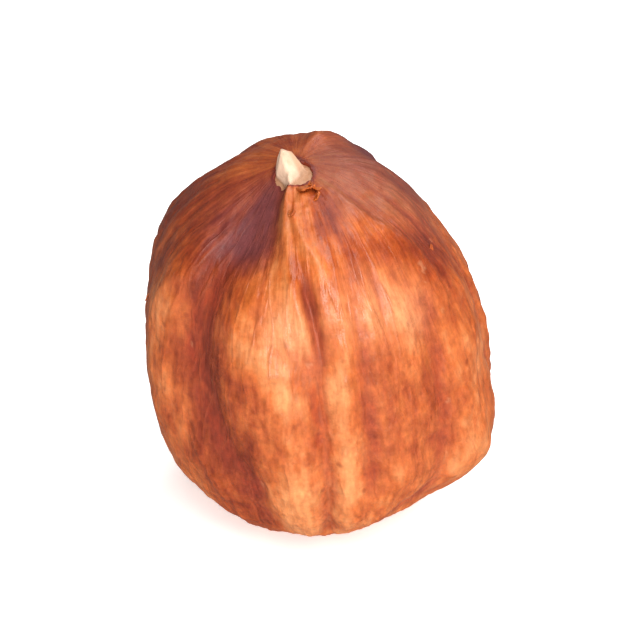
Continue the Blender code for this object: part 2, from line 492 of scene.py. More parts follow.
@dataclass(frozen=True)
class DrySeedSkin:
    """The skin of a dried hazelnut: papery, tannin-brown, grown with veins from base to tip."""

    deep: str = "#742609"
    # The colour of the painted shade deep in the furrows
    furrow: str = "#8a2803"
    chestnut: str = "#984014"
    ginger: str = "#b65c25"
    tan: str = "#cd824c"
    cork: str = "#cf9468"
    # The pale pink of the painted highlights on the polished patches
    painted_highlight: str = "#dca88e"
    # The dull mauve: partly the skin's own colour, partly painted shade in the hollow by the tip and a
    # painted sheen on the faces turned up
    mauve_sheen_and_shade: str = "#632929"
    roughness: float = 0.42
    ior: float = 1.47
    shine: float = 0.46

    def material(self) -> bpy.types.Material:
        """Builds the skin's material.

        Returns:
            The material.
        """
        material, tree, shader = new_material("dried_hazelnut_skin")
        read = self.patterns(tree)
        links = {
            "Base Color": self.colour(tree, read),
            "Roughness": self.dullness(tree, read),
            "Normal": self.bumps(tree, read),
            "IOR": self.ior,
            "Specular IOR Level": self.shine,
        }
        fill_inputs(tree, shader, links)
        return material

    def patterns(self, tree: bpy.types.NodeTree) -> dict[str, Any]:
        """Reads the values that the mesh holds, and lays out the skin's patterns.

        Args:
            tree: The material's tree.

        Returns:
            A socket for each value and each pattern, by name.
        """
        held = ("crest", "vein", "scuff", "mauve_sheen_and_shade", "tone", "spaced", "polish_and_highlight")
        read = {name: add_node(tree, "Attribute", attribute_name=name).outputs["Fac"] for name in held}
        ring = add_node(tree, "Attribute", attribute_name="ring").outputs["Vector"]
        place = add_node(tree, "TexCoord").outputs["Object"]

        # Three patterns follow the grain, in millimetres: streaks 0.6 mm apart round the kernel and 2.5 mm
        # long, fibres of 0.16 mm between them, and a net of thin veins with meshes of 1.1 by 3.3 mm
        stretches = {"streak": (1.6, 1.6, 0.4), "fibre": (5.5, 5.5, 1.5), "net": (0.9, 0.9, 0.30)}
        along = {
            name: add_node(tree, "VectorMath", {0: ring, 1: stretch}, operation="MULTIPLY").outputs[0]
            for name, stretch in stretches.items()
        }
        # Each noise has its place, its cells a unit of length, its finer layers and how strong they are
        noises = (
            ("streak", along["streak"], 1.0, 4.0, 0.5),
            ("fibre", along["fibre"], 1.0, 3.0, 0.5),
            # Blotches 3 mm across, where the tannin is stronger, with mottling of 0.6 mm in them
            ("blotch", place, 330.0, 2.0, 0.5),
            ("mottle", place, 1700.0, 5.0, 0.6),
            # Papery flecks of 0.25 mm, and grain of 0.12 mm, as the dried cells of the skin give
            ("fleck", place, 4000.0, 4.0, 0.65),
            ("grain", place, 8200.0, 3.0, 0.5),
        )
        for name, at, scale, detail, strength in noises:
            links = {"Vector": at, "Scale": scale, "Detail": detail, "Roughness": strength}
            read[name] = add_node(tree, "TexNoise", links).outputs["Fac"]

        # The net is bent by the streaks
        bend = add_node(tree, "VectorMath", {0: along["streak"], "Scale": 1.3}, operation="SCALE").outputs[0]
        bend = add_node(tree, "TexNoise", {"Vector": bend, "Scale": 1.0, "Detail": 2.0}).outputs["Color"]
        links = {0: bend, 1: (0.45, 0.45, 0.6), 2: along["net"]}
        bent = add_node(tree, "VectorMath", links, operation="MULTIPLY_ADD").outputs[0]
        links = {"Vector": bent, "Scale": 1.0}
        net = add_node(tree, "TexVoronoi", links, feature="DISTANCE_TO_EDGE").outputs["Distance"]
        # Dark pits of 0.15 mm lie a millimetre apart
        pit = add_node(tree, "TexVoronoi", {"Vector": place, "Scale": 1000.0}).outputs["Distance"]

        # Each of these is another pattern with its bounds moved: from low, from high, to low, to high
        ranges = (
            ("net", net, 0.0, 0.09, 1.0, 0.0),
            ("pit", pit, 0.06, 0.17, 1.0, 0.0),
            # The painted shade's share in the furrows, and the crests' lower roughness
            ("low", read["crest"], -0.3, -1.0, 0.0, 0.5),
            ("high", read["crest"], 0.0, 0.8, 0.0, -0.07),
            # The share of the painted highlight on the polished patches
            ("painted_highlight_share", read["polish_and_highlight"], 0.1, 1.0, 0.0, 0.13),
            ("thread", read["fibre"], 0.34, 0.66, -0.13, 0.13),
            ("papery", read["fleck"], 0.3, 0.7, 0.86, 1.14),
            ("matt", read["fibre"], 0.3, 0.7, self.roughness - 0.07, self.roughness + 0.09),
        )
        for name, source, *bounds in ranges:
            links = dict(zip((FROM_LOW, FROM_HIGH, TO_LOW, TO_HIGH), bounds))
            read[name] = add_node(tree, "MapRange", {"Value": source, **links}).outputs[0]
        # The grain draws together at the ends, and the net fades there
        links = {0: read["net"], 1: read["spaced"]}
        read["net"] = add_node(tree, "Math", links, operation="MULTIPLY").outputs[0]
        return read

    def colour(self, tree: bpy.types.NodeTree, read: dict[str, Any]) -> Any:
        """Colours the skin.

        Args:
            tree: The material's tree.
            read: The patterns' sockets.

        Returns:
            The colour's socket.
        """
        # The streaks, blotches and mottling, the stains with their painted light and shade, and a little
        # painted light on the crests and painted shade in the furrows shift the pattern's middle from 0.5
        # towards its dark or its pale end
        tone: Any = 0.0
        shares = {"streak": 0.42, "blotch": 0.34, "mottle": 0.24, "tone": 0.17, "crest": 0.05}
        for name, share in shares.items():
            links = {0: read[name], 1: share, 2: tone}
            tone = add_node(tree, "Math", links, operation="MULTIPLY_ADD").outputs[0]
        ramp = add_node(tree, "ValToRGB", {"Fac": tone})
        marks = ramp.color_ramp.elements
        stops = ((0.30, self.deep), (0.40, self.chestnut), (0.53, self.ginger), (0.70, self.tan))
        while len(marks) < len(stops):
            marks.new(1.0)
        for mark, (place, shade) in zip(marks, stops):
            mark.position = place
            mark.color = linear(shade)
        colour = ramp.outputs["Color"]

        # Over it lie the painted shade in the furrows, the mauve, which is partly the skin's own colour and
        # partly painted shade and sheen, the veins and their net, the pits, the corky flaked patches, and the
        # pale pink painted highlights on the polished patches
        layers = (
            ("low", 1.0, self.furrow),
            ("mauve_sheen_and_shade", 1.0, self.mauve_sheen_and_shade),
            ("vein", 0.22, self.chestnut),
            ("net", 0.24, self.chestnut),
            ("pit", 0.40, self.deep),
            ("scuff", 0.22, self.cork),
            ("painted_highlight_share", 1.0, self.painted_highlight),
        )
        for name, strength, shade in layers:
            share = add_node(tree, "Math", {0: read[name], 1: strength}, operation="MULTIPLY").outputs[0]
            links = {"Factor": share, MIX_UNDER: colour, MIX_OVER: linear(shade)}
            colour = add_node(tree, "Mix", links, data_type="RGBA").outputs[MIX_RESULT]

        # Fibres and papery flecks make it a little darker and paler
        links = {0: read["thread"], 1: read["spaced"], 2: 1.0}
        thread = add_node(tree, "Math", links, operation="MULTIPLY_ADD").outputs[0]
        for shade in (thread, read["papery"]):
            colour = add_node(tree, "VectorMath", {0: colour, "Scale": shade}, operation="SCALE").outputs[0]
        return colour

    def dullness(self, tree: bpy.types.NodeTree, read: dict[str, Any]) -> Any:
        """Gives the roughness: more in the furrows, less on the crests, which rubbing has polished.

        Args:
            tree: The material's tree.
            read: The patterns' sockets.

        Returns:
            The roughness's socket.
        """
        rough = read["matt"]
        for name, share in (("low", 0.4), ("high", 1.0), ("polish_and_highlight", -0.11)):
            links = {0: read[name], 1: share, 2: rough}
            rough = add_node(tree, "Math", links, operation="MULTIPLY_ADD").outputs[0]
        return rough

    def bumps(self, tree: bpy.types.NodeTree, read: dict[str, Any]) -> Any:
        """Gives the relief that is too fine for the mesh: grain, then fibres, then mottling and the net.

        Args:
            tree: The material's tree.
            read: The patterns' sockets.

        Returns:
            The normal's socket.
        """
        links = {0: read["net"], 1: 0.6, 2: read["mottle"]}
        swollen = add_node(tree, "Math", links, operation="MULTIPLY_ADD").outputs[0]
        normal: dict[str, Any] = {}
        for height, depth, strength in (
            (read["grain"], 0.014, 0.9),
            (read["fibre"], 0.030, 0.9),
            (swollen, 0.035, 0.8),
        ):
            links = {"Height": height, "Distance": depth * MM, "Strength": strength, **normal}
            normal = {"Normal": add_node(tree, "Bump", links).outputs[0]}
        return normal["Normal"]


@dataclass(frozen=True)
class SeedFlesh:
    """The flesh of a hazelnut where its skin is broken off: waxy, cream and a little see-through."""

    cream: str = "#e2bea2"
    # The brown of the oil spots and of the upper right, and of the painted shade at the nub's foot
    brown_and_shade: str = "#a9744c"
    roughness: float = 0.55
    ior: float = 1.47

    def material(self) -> bpy.types.Material:
        """Builds the flesh's material.

        Returns:
            The material.
        """
        material, tree, shader = new_material("hazelnut_flesh")
        place = add_node(tree, "TexCoord").outputs["Object"]
        browned_and_shaded = add_node(tree, "Attribute", attribute_name="brown_and_shade").outputs["Fac"]
        # Oil spots of 0.4 mm, and the crumbly break of 0.08 mm
        spot = add_node(tree, "TexNoise", {"Vector": place, "Scale": 2500.0, "Detail": 3.0}).outputs["Fac"]
        crumb = add_node(tree, "TexNoise", {"Vector": place, "Scale": 12500.0, "Detail": 2.0}).outputs["Fac"]
        links = {"Value": spot, FROM_LOW: 0.45, FROM_HIGH: 0.75, TO_LOW: 0.0, TO_HIGH: 0.35}
        share = add_node(tree, "MapRange", links).outputs[0]
        share = add_node(tree, "Math", {0: share, 1: browned_and_shaded}, operation="MAXIMUM").outputs[0]
        links = {"Factor": share, MIX_UNDER: linear(self.cream), MIX_OVER: linear(self.brown_and_shade)}
        colour = add_node(tree, "Mix", links, data_type="RGBA").outputs[MIX_RESULT]
        bump = add_node(tree, "Bump", {"Height": crumb, "Distance": 0.02 * MM, "Strength": 0.9}).outputs[0]
        links = {"Base Color": colour, "Normal": bump, "Roughness": self.roughness, "IOR": self.ior}
        fill_inputs(tree, shader, links)
        return material


@dataclass(frozen=True)
class OpalAcrylic:
    """The white opal acrylic sheet that the kernel stands on, lit a little from below."""

    white: str = "#f7f6f4"
    glow: float = 0.58
    roughness: float = 0.6

    def material(self) -> bpy.types.Material:
        """Builds the sheet's material.

        Returns:
            The material.
        """
        material, tree, shader = new_material("white_opal_acrylic")
        place = add_node(tree, "TexCoord").outputs["Object"]
        # The cast sheet's faint texture, 0.5 mm across
        press = add_node(tree, "TexNoise", {"Vector": place, "Scale": 2000.0, "Detail": 1.0}).outputs["Fac"]
        bump = add_node(tree, "Bump", {"Height": press, "Distance": 0.005 * MM, "Strength": 0.3}).outputs[0]
        links = {
            "Base Color": linear(self.white),
            "Normal": bump,
            "Roughness": self.roughness,
            "Emission Color": linear(self.white),
            "Emission Strength": self.glow,
        }
        fill_inputs(tree, shader, links)
        return material


def closed_faces(rows: int, count: int) -> list[tuple[int, ...]]:
    """Lists the faces between rings of vertices, and the fans that close both ends.

    Args:
        rows: How many rings there are. The middles of the upper and the lower fan come after them.
        count: How many vertices a ring has.

    Returns:
        The faces.
    """
    last = (rows - 1) * count
    top, bottom = last + count, last + count + 1
    faces: list[tuple[int, ...]] = []
    for column in range(count):
        after = (column + 1) % count
        faces.append((top, column, after))
        faces.append((bottom, last + after, last + column))
        for here in range(0, last, count):
            below = here + count
            faces.append((here + column, below + column, below + after, here + after))
    return faces


def add_mesh(
    name: str, points: np.ndarray, faces: list[tuple[int, ...]], material: bpy.types.Material
) -> bpy.types.Object:
    """Makes a smooth-shaded mesh object.

    Args:
        name: The piece's name.
        points: Its vertices, in metres.
        faces: Its faces.
        material: Its material.

    Returns:
        The object, linked to the scene.
    """
    mesh = bpy.data.meshes.new(name)
    mesh.from_pydata(points.reshape(-1, 3).tolist(), [], faces)
    mesh.shade_smooth()
    mesh.materials.append(material)
    piece = bpy.data.objects.new(name, mesh)
    bpy.context.scene.collection.objects.link(piece)
    return piece


def add_values(piece: bpy.types.Object, name: str, values: np.ndarray) -> None:
    """Stores a number or a vector at each vertex for the material.

    Args:
        piece: The mesh object.
        name: The attribute's name.
        values: One value or x, y, z a vertex.
    """
    vector = values.ndim == 2
    kind = "FLOAT_VECTOR" if vector else "FLOAT"
    attribute = piece.data.attributes.new(name, kind, "POINT")
    attribute.data.foreach_set("vector" if vector else "value", values.astype(np.float32).ravel())


@dataclass(frozen=True)
class Grain:
    """One pattern of the relief: what its seed adds to the relief's own, its size and its layers."""

    seed: int
    size: float | tuple[float, float, float]
    layers: int


@dataclass
class SkinRelief:
    """The skin's own relief on the kernel's form: ridges, veins, wrinkles, dimples and flaked patches."""

    form: KernelForm
    seed: int = 41
    # The ring that patterns along the grain are read on: its radius, and its height a radian of polar angle
    girth: float = 6.8
    side: float = 8.6
    warp: Grain = Grain(1, 4.0, 2)
    warp_reach: tuple[float, float, float] = (0.7, 0.7, 1.2)
    ridge: Grain = Grain(2, (2.4, 2.4, 11.0), 2)
    ridge_height: float = 0.07
    vein: Grain = Grain(3, (1.9, 1.9, 7.0), 2)
    vein_breadth: float = 0.22
    vein_height: float = 0.04
    wrinkle: Grain = Grain(4, (0.75, 0.75, 2.0), 2)
    wrinkle_breadth: float = 0.5
    wrinkle_height: float = 0.034
    cross: Grain = Grain(5, (2.2, 2.2, 0.7), 2)
    cross_height: float = 0.03
    cross_seed: int = 6
    cross_patch: float = 3.2
    cross_shoulder: Swell = Swell(34, 60, 14, 1.3)
    dimple: Grain = Grain(7, 2.6, 3)
    dimple_height: float = 0.13
    flake: Grain = Grain(8, (0.8, 0.8, 1.2), 4)
    flake_edge: tuple[float, float] = (0.78, 0.86)
    flake_depth: float = 0.018
    pucker: Grain = Grain(9, (1.0, 1.0, 1.5), 3)
    pucker_height: float = 0.05
    waver: Grain = Grain(10, 2.2, 2)
    waver_reach: float = 0.14
    torn: Grain = Grain(11, 0.42, 3)
    torn_neck: Swell = Swell(12, 8, 6, 1.0)
    torn_height: float = 0.08
    inset: float = 0.10
    side_folds: int = 30
    # How far from the ends, in degrees, the grain's relief is shallower; where the dimples begin; and where
    # the net and the fibres become clear below the tip and fade again above the base
    gathered_to: float = 48.0
    dimpled: tuple[float, float] = (4.0, 12.0)
    spaced_above: tuple[float, float] = (6.0, 34.0)
    spaced_below: tuple[float, float] = (140.0, 172.0)
    least_spaced: float = 0.25
    # How far round a point its surroundings are averaged to tell crests from furrows, how high a full crest
    # stands above that average, and how long the surface is from tip to base
    crest_reach: float = 0.9
    crest_height: float = 0.20
    meridian: float = 27.0
    heights: dict[str, np.ndarray] = field(default_factory=dict)

    def random_folds(self) -> list[Fold]:
        """Draws small ribs and furrows that run with the grain all round.

        Returns:
            The folds.
        """
        draw = np.random.default_rng(self.seed)
        folds = []
        for number in range(self.side_folds):
            azimuth = number * 360.0 / self.side_folds + draw.uniform(-5, 5) - 180.0
            upper = draw.uniform(8, 62)
            lower = upper + draw.uniform(36, 84)
            middle = (upper + lower) / 2
            sway = draw.normal(0, 3.0, 2)
            width = draw.uniform(1.6, 3.6)
            # The front's folds are all listed, so few are added to it
            height = draw.choice((-0.10, -0.07, 0.06, 0.09)) * (0.25 if abs(azimuth) < 60 else 1.0)
            course = ((upper, azimuth), (middle, azimuth + sway[0]), (lower, azimuth + sway[1]))
            section = Section.PINCHED if height < 0 else Section.ROUND
            folds.append(Fold(course, width, width * 1.2, height, run_in=16, run_out=22, section=section))
        return folds

    def measure(self, polar: np.ndarray, azimuth: np.ndarray) -> np.ndarray:
        """Works out the relief, and keeps the layers that the material reads.

        Args:
            polar: Polar angles, in rows from the tip to the base.
            azimuth: Azimuths.

        Returns:
            What the relief adds to the radius, in millimetres.
        """
        radius = self.form.radius(polar, azimuth)
        place = self.form.spread(radius, polar, azimuth)
        warp = self.noise(self.warp, place)[..., None] * np.array(self.warp_reach)
        bent = self.ring(polar, azimuth) + warp

        vein = self.lines(self.noise(self.vein, bent), self.vein_breadth)
        wrinkle = self.lines(self.noise(self.wrinkle, bent), self.wrinkle_breadth)
        cross = self.lines(self.noise(self.cross, bent), self.wrinkle_breadth)
        # Short wrinkles across the grain, in patches and on the right shoulder
        patches = SeededNoise(self.seed + self.cross_seed).at(place / self.cross_patch)
        crossed = np.maximum(smooth_step(0.0, 0.5, patches), self.cross_shoulder.rise(polar, azimuth))
        flaked = smooth_step(*self.flake_edge, self.noise(self.flake, place))

        # The grain draws together towards the tip and the base, and is shallower there
        out = np.sin(np.radians(polar))
        gathered = np.clip(out / math.sin(math.radians(self.gathered_to)), 0.0, 1.0) ** 1.5
        relief = gathered * (
            self.ridge_height * self.noise(self.ridge, bent)
            + self.vein_height * vein
            + self.wrinkle_height * wrinkle
            + self.cross_height * cross * crossed
        )
        dimples = self.dimple_height * self.noise(self.dimple, place)
        puckers = self.pucker_height * self.noise(self.pucker, place)
        relief = relief + smooth_step(*self.dimpled, polar) * (dimples + puckers)
        # The neck below the tip is torn and lumpy
        torn = self.torn_height * self.noise(self.torn, place)
        relief = relief + torn * self.torn_neck.rise(polar, azimuth)
        relief = relief - self.flake_depth * flaked - self.inset
        waver = self.waver_reach * self.noise(self.waver, place)
        wavered = azimuth + np.degrees(waver / np.maximum(radius * out, 1.0))
        for form in (*FINE_FORMS, *self.random_folds()):
            relief = relief + form.rise(polar, wavered)

        spaced = smooth_step(*self.spaced_above, polar) * (1.0 - smooth_step(*self.spaced_below, polar))
        self.heights = {
            "vein": vein * gathered,
            "scuff": flaked,
            "crest": self.crest(radius + relief, polar),
            "spaced": self.least_spaced + (1.0 - self.least_spaced) * spaced,
        }
        return relief

    def noise(self, grain: Grain, points: np.ndarray) -> np.ndarray:
        """Gives one pattern's values of about -1 to 1 at points in millimetres."""
        return SeededNoise(self.seed + grain.seed).layered(points / grain.size, grain.layers)

    def ring(self, polar: np.ndarray, azimuth: np.ndarray) -> np.ndarray:
        """Gives points that run with the grain: round a ring of the kernel's girth, and down along it.

        Args:
            polar: Polar angles.
            azimuth: Azimuths.

        Returns:
            Points in millimetres.
        """
        turn = np.radians(azimuth)
        down = np.radians(polar) * self.side
        return np.stack((self.girth * np.sin(turn), -self.girth * np.cos(turn), down), axis=-1)

    def lines(self, noise: np.ndarray, breadth: float) -> np.ndarray:
        """Turns noise to lines where it comes nearer to 0 than the breadth: 1 in the middle, 0 outside."""
        return np.clip(1.0 - np.abs(noise) / breadth, 0.0, 1.0) ** 1.5

    def crest(self, radius: np.ndarray, polar: np.ndarray) -> np.ndarray:
        """Tells crests from furrows, by how far the surface stands above the average of its surroundings.

        Args:
            radius: The surface's radii, in rows from the tip to the base.
            polar: The rows' polar angles.

        Returns:
            -1 in the furrows to 1 on the crests.
        """
        reach = self.crest_reach
        turns = np.arange(radius.shape[1] // 2 + 1)
        girth = np.maximum(radius.mean(axis=1) * np.sin(np.radians(polar[:, 0])), 0.5)
        damp = np.exp(-0.5 * (turns[None, :] * reach / girth[:, None]) ** 2)
        level = np.fft.irfft(np.fft.rfft(radius, axis=1) * damp, n=radius.shape[1], axis=1)
        row = self.meridian / radius.shape[0]
        steps = np.arange(-int(3 * reach / row), int(3 * reach / row) + 1)
        bell = np.exp(-0.5 * (steps * row / reach) ** 2)
        bell /= bell.sum()
        padded = np.pad(level, ((len(steps) // 2,) * 2, (0, 0)), mode="edge")
        level = np.apply_along_axis(lambda line: np.convolve(line, bell, mode="valid"), 0, padded)
        return np.clip((radius - level) / self.crest_height, -1.0, 1.0)


@dataclass
class KernelSkin:
    """The whole skin of the kernel, with a torn hole at the tip."""

    form: KernelForm
    relief: SkinRelief
    material: bpy.types.Material
    surface: np.ndarray | None = None
    meridians: int = 460
    rings: int = 214
    ring_pull: float = 0.5
    # Rows that are added by the torn edge, in degrees from it, and how near to it no other row comes
    edge_rows: tuple[float, ...] = (-0.4, -0.2, 0.0, 0.1, 0.25)
    edge_space: float = 0.3
    hole: float = 4.2
    hole_forward: float = 3.7
    hole_azimuth: float = -8.0
    hole_depth: float = 0.30
    # The torn edge's tears and its finer raggedness: seed, degrees, waves round the hole and layers
    tears: tuple[tuple[int, float, float, int], ...] = ((7, 0.6, 2.6, 3), (8, 0.35, 9.0, 2))
    curl_seed: int = 9
    curl_waves: float = 2.2
    nub_share: float = 0.8
    # How far past the torn edge, in degrees, the rows bend with it, its rim curls up and it is darker, partly
    # as dried skin and partly as a painted shadow under the nub
    bend_reach: float = 5.0
    rim_reach: float = 0.9
    rim_rise: float = 0.07
    edge_dark_reach: float = 0.8
    edge_dark_and_shade_tone: float = 1.6

    def edge(self, azimuth: np.ndarray) -> np.ndarray:
        """Gives the polar angle of the torn edge round the tip.

        Args:
            azimuth: Azimuths.

        Returns:
            The polar angles.
        """
        turn = np.radians(azimuth - self.hole_azimuth)
        circle = np.stack((np.sin(turn), -np.cos(turn), np.zeros_like(turn)), axis=-1)
        ragged = sum(
            reach * SeededNoise(seed).layered(circle * waves, layers)
            for seed, reach, waves, layers in self.tears
        )
        ahead = self.hole_forward * np.cos(turn)
        aside = self.hole_forward * np.sin(turn)
        return ahead + np.sqrt(self.hole**2 - aside**2) + ragged

    def build(self) -> bpy.types.Object:
        """Builds and dresses the skin.

        Returns:
            The piece.
        """
        rows = self.rows()
        columns = np.arange(self.meridians) * 360.0 / self.meridians - 180.0
        even, azimuth = np.meshgrid(rows, columns, indexing="ij")
        # The rows bend so that one of them runs along the torn edge
        edge = self.edge(azimuth)
        past = even - self.hole
        bent = even + (edge - self.hole) * np.exp(-past / self.bend_reach)
        polar = np.where(past < 0, even * edge / self.hole, bent)
        relief = self.relief.measure(polar, azimuth)
        ball = self.form.spread(3.0, polar, azimuth)
        curls = SeededNoise(self.curl_seed).layered(ball * self.curl_waves, 2)
        rim = np.exp(-((past / self.rim_reach) ** 2)) * (0.3 + 1.2 * smooth_step(-0.3, 0.9, curls))
        sunk = 1.0 - smooth_step(-0.4, 0.0, past)
        # The nub that the solid model has belongs to the flesh, so the skin leaves it out
        nub = MAIN_SWELLS[0].rise(polar, azimuth)
        radius = self.form.radius(polar, azimuth) - self.nub_share * nub + relief
        radius = radius + self.rim_rise * rim - self.hole_depth * sunk
        self.surface = radius
        points = self.form.place_m(radius, polar, azimuth)
        ends = points[[0, -1]].mean(axis=1)
        points = np.vstack((points.reshape(-1, 3), ends))
        skin = add_mesh("kernel_skin", points, closed_faces(len(rows), self.meridians), self.material)
        ring = self.relief.ring(polar, azimuth).reshape(-1, 3)
        add_values(skin, "ring", np.vstack((ring, (0, 0, 0), (0, 0, ring[-1, 2]))))

        layers = dict(self.relief.heights)
        for name, patches in (("mauve_sheen_and_shade", MAUVE_SHEEN_AND_SHADE_PATCHES), ("tone", STAIN_AND_PAINTED_LIGHT_PATCHES), ("polish_and_highlight", POLISH_AND_PAINTED_HIGHLIGHT_PATCHES)):
            layers[name] = np.clip(sum(patch.rise(polar, azimuth) for patch in patches), -1.0, 1.0)
        # The torn edge is darker: partly dried skin, partly a painted shadow under the nub
        layers["tone"] -= self.edge_dark_and_shade_tone * np.exp(-(((past - 0.3) / self.edge_dark_reach) ** 2))
        for name, values in layers.items():
            add_values(skin, name, np.append(values.ravel(), values[[0, -1]].mean(axis=1)))
        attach(skin, "root")
        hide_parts("kernel")
        return skin

    def rows(self) -> np.ndarray:
        """Gives the rows' polar angles, closer together towards the tip.

        Returns:
            The polar angles.
        """
        even = np.linspace(0, math.pi, self.rings + 1)[1:-1]
        rows = np.degrees(even - self.ring_pull * np.sin(even))
        nearby = self.hole + np.array(self.edge_rows)
        return np.sort(np.append(rows[np.abs(rows - self.hole) > self.edge_space], nearby))

    def radius_at(self, polar: np.ndarray, azimuth: np.ndarray) -> np.ndarray:
        """Reads the built skin's radius between its vertices.

        Args:
            polar: Polar angles.
            azimuth: Azimuths.

        Returns:
            The radii in millimetres.
        """
        rows = self.rows()
        row = np.interp(polar, rows, np.arange(len(rows)))
        column = (azimuth + 180.0) % 360.0 * self.meridians / 360.0
        above, before = np.minimum(row.astype(int), len(rows) - 2), column.astype(int)
        down, along = row - above, column - before
        after = (before + 1) % self.meridians
        before = before % self.meridians
        upper = self.surface[above, before] * (1 - along) + self.surface[above, after] * along
        lower = self.surface[above + 1, before] * (1 - along) + self.surface[above + 1, after] * along
        return upper * (1 - down) + lower * down


# The nub of flesh is what lies under all of these planes, which are the facets of its break. Each has its
# fall a degree towards the right and towards the front, and its height at the nub's peak
TIP_FACETS = (
    (0.16, 0.04, 1.10),
    (0.20, 0.14, 1.18),
    (0.02, 0.16, 1.12),
    (-0.55, 0.05, 1.28),
    (-0.40, 0.28, 1.40),
    (0.10, -0.32, 1.18),
    (0.42, -0.22, 1.65),
    (-0.36, -0.32, 1.30),
    (0.36, 0.24, 1.95),
    (0.10, -0.10, 1.06),
)


@dataclass
class BareTip:
    """The cream nub of flesh at the tip, which the torn skin leaves bare."""

    form: KernelForm
    skin: KernelSkin
    rings: int = 60
    meridians: int = 120
    reach: float = 10.0
    bed_depth: float = 0.17
    # The peak's place, in degrees to the right and to the front of the pole
    peak: tuple[float, float] = (-2.2, 1.4)
    # Where the nub's side begins and ends, in degrees from the middle of the skin's hole
    side_begins: float = 4.1
    side_ends: float = 5.9
    rough_seed: int = 19
    rough_height: float = 0.05
    rough_size: float = 0.35
    # How far the flesh goes in under the skin past the torn edge, and how deep its closed underside lies
    tuck: float = 0.5
    underside: float = 0.6
    # How strong the painted shade at the nub's foot is, and the brown on its upper right
    foot_shade: float = 0.8
    side_brown: float = 0.55

    def build(self) -> bpy.types.Object:
        """Builds and dresses the nub.

        Returns:
            The piece.
        """
        rows = np.linspace(0, self.reach, self.rings + 1)[1:]
        columns = np.arange(self.meridians) * 360.0 / self.meridians - 180.0
        polar, azimuth = np.meshgrid(rows, columns, indexing="ij")
        right = polar * np.sin(np.radians(azimuth))
        front = polar * np.cos(np.radians(azimuth))
        height = self.height(right, front)
        smooth = self.form.radius(polar, azimuth) - MAIN_SWELLS[0].rise(polar, azimuth)
        place = self.form.spread(smooth, polar, azimuth)
        rough = SeededNoise(self.rough_seed).layered(place / self.rough_size, 3)
        edge = self.skin.edge(azimuth)
        under = self.tuck * smooth_step(edge + 0.2, edge + 1.4, polar)
        radius = smooth - self.bed_depth + height + self.rough_height * rough - under
        points = self.form.place_m(radius, polar, azimuth).reshape(-1, 3)
        ends = np.array((radius[0].mean(), radius[-1].mean() - self.underside))
        points = np.vstack((points, self.form.place_m(ends, np.zeros(2), np.zeros(2))))
        faces = closed_faces(self.rings, self.meridians)
        tip = add_mesh("bare_tip_flesh", points, faces, SeedFlesh().material())
        # The break has painted shade at its foot, and is browner on its upper right
        brown_and_shade = self.foot_shade * smooth_step(0.16, 0.0, height)
        aside = right - self.peak[0] - 0.7 * (front - self.peak[1])
        brown_and_shade = np.maximum(brown_and_shade, self.side_brown * smooth_step(0.2, 1.6, aside))
        add_values(tip, "brown_and_shade", np.append(brown_and_shade.ravel(), (0.0, 1.0)))
        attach(tip, "root")
        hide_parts("kernel")
        return tip

    def height(self, right: np.ndarray, front: np.ndarray) -> np.ndarray:
        """Gives the nub's height over its bed.

        Args:
            right: Degrees to the right of the pole.
            front: Degrees to the front of the pole.

        Returns:
            The heights in millimetres.
        """
        planes = [
            top - to_right * (right - self.peak[0]) - to_front * (front - self.peak[1])
            for to_right, to_front, top in TIP_FACETS
        ]
        turn = math.radians(self.skin.hole_azimuth)
        middle_right = self.skin.hole_forward * math.sin(turn)
        middle_front = self.skin.hole_forward * math.cos(turn)
        away = np.hypot(right - middle_right, front - middle_front)
        inside = 1.0 - smooth_step(self.side_begins, self.side_ends, away)
        return np.maximum(np.min(planes, axis=0), 0.0) * inside


@dataclass(frozen=True)
class Scrap:
    """A flake of loose skin: its root, where its free end points (0 down, 90 right), its size, its curl."""

    polar: float
    azimuth: float
    turn: float
    length: float
    width: float
    curl: float


# The curled scraps just below the tip, in millimetres and degrees
SCRAPS = (
    Scrap(7.3, 8, 16, 0.66, 0.40, 75),
    Scrap(8.2, 34, -48, 0.78, 0.30, 105),
    Scrap(10.8, 16, 48, 0.58, 0.26, 120),
    Scrap(13.2, -3, -12, 0.50, 0.22, 70),
)


